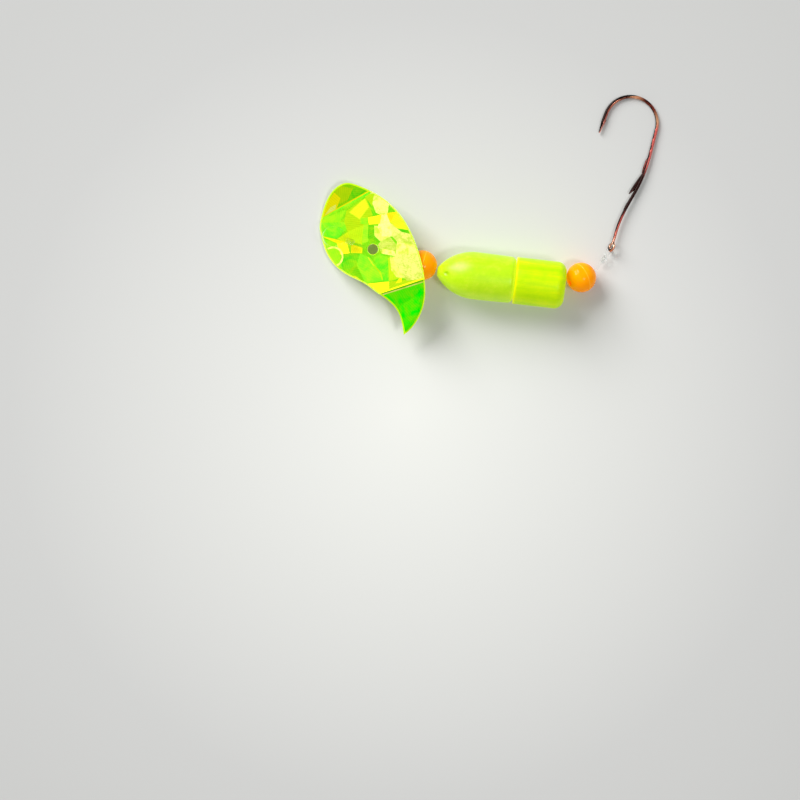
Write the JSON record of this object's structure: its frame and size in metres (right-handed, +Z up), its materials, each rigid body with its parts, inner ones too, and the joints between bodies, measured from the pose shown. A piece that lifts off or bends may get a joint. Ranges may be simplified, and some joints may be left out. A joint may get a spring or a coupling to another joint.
{
  "type": "inline spinner",
  "caption": "Floating in-line spinner on a tied nylon leader: creased comma-shaped blade, round beads, bullet float with a cylinder behind it, and a long-shank hook.",
  "frame": {"origin": "on the table, under the middle of the lure's bounding box, with the lure laid flat", "axes": "+X back along the float's axis, from the end loop to the hook; +Y towards the side that the hook lies on; +Z up from the table"},
  "size_m": [0.0654, 0.0534, 0.0095],
  "materials": {
    "nylon_line": "gloss",
    "blade_plastic": "gloss",
    "holo_film": "gloss",
    "bead_orange": "gloss",
    "float_chartreuse": "satin",
    "hook_bronze": "gloss"
  },
  "bodies": {
    "line": {"leader": "nylon_line", "loop_knot": "nylon_line", "hook_knot": "nylon_line"},
    "blade": {"blade": "blade_plastic", "blade_film": "holo_film"},
    "front_bead": {"front_bead": "bead_orange"},
    "float_nose": {"float_nose": "float_chartreuse"},
    "float_rear": {"float_rear": "float_chartreuse"},
    "rear_bead": {"rear_bead": "bead_orange"},
    "hook": {"hook": "hook_bronze"}
  },
  "joints": [
    {"name": "blade_spin", "type": "hinge", "parent": "line", "child": "blade", "pos_m": [-0.02149, -0.01038, 0.00475], "axis": [0.9806, -0.1959, 0], "continuous": true},
    {"name": "front_bead_spin", "type": "hinge", "parent": "line", "child": "front_bead", "pos_m": [-0.01132, -0.01241, 0.00475], "axis": [0.9806, -0.1959, 0], "continuous": true},
    {"name": "float_nose_spin", "type": "hinge", "parent": "line", "child": "float_nose", "pos_m": [-0.00819, -0.01328, 0.00475], "axis": [1, 0, 0], "continuous": true},
    {"name": "float_rear_spin", "type": "hinge", "parent": "line", "child": "float_rear", "pos_m": [0.00743, -0.01328, 0.00475], "axis": [1, 0, 0], "continuous": true},
    {"name": "rear_bead_spin", "type": "hinge", "parent": "line", "child": "rear_bead", "pos_m": [0.02063, -0.01111, 0.003], "axis": [0.7796, 0.4875, -0.3932], "continuous": true},
    {"name": "hook_swing", "type": "hinge", "parent": "line", "child": "hook", "pos_m": [0.02589, -0.00501, 0.00108], "axis": [0, 0, 1], "range_deg": [-105, 70]}
  ]
}
